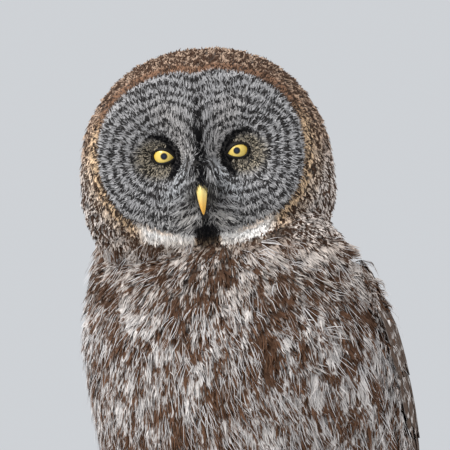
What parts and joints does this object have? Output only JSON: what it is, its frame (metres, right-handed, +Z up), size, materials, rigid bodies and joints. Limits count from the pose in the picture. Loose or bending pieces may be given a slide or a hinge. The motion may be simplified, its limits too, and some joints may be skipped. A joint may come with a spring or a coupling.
{
  "type": "great grey owl",
  "caption": "Life-size still model of a great grey owl perched upright on a cut length of branch, head turned to its left, held by a plain display stand.",
  "frame": {"origin": "centre of the underside of the stand's base", "axes": "+Z up, -Y the way the owl's body faces, +X to the owl's left"},
  "size_m": [0.2688, 0.295, 0.6886],
  "materials": {
    "face_plumage": "grey feathers with fine dark rings round each eye, browner at the rim and over the crown",
    "body_plumage": "loose soft feathers, greyish white with dark brown broken streaks",
    "flight_feathers": "dark brown vanes mottled and barred with grey and white",
    "leg_plumage": "short dense whitish feathers with brown mottling, down to the claws",
    "eye": "wet, bright yellow iris round a small dark pupil",
    "bill": "smooth horn, wax yellow",
    "claw": "smooth black horn",
    "bark": "rough grey-brown pine bark, pale sawn ends",
    "stand_steel": "satin black",
    "stand_wood": "dark stained, satin varnish"
  },
  "bodies": {
    "root": {"head": "face_plumage", "neck": "body_plumage", "torso": "body_plumage", "eye_left": "eye", "eye_right": "eye", "bill_upper": "bill", "bill_lower": "bill", "wing_left": "flight_feathers", "wing_right": "flight_feathers", "tail": "flight_feathers", "leg_left": "leg_plumage", "leg_right": "leg_plumage", "foot_left": "leg_plumage", "foot_right": "leg_plumage", "claw_left_inner_front": "claw", "claw_left_outer_front": "claw", "claw_left_inner_back": "claw", "claw_left_outer_back": "claw", "claw_right_inner_front": "claw", "claw_right_outer_front": "claw", "claw_right_inner_back": "claw", "claw_right_outer_back": "claw", "perch": "bark", "stand_rod_left": "stand_steel", "stand_rod_right": "stand_steel", "stand_base": "stand_wood"}
  },
  "joints": []
}
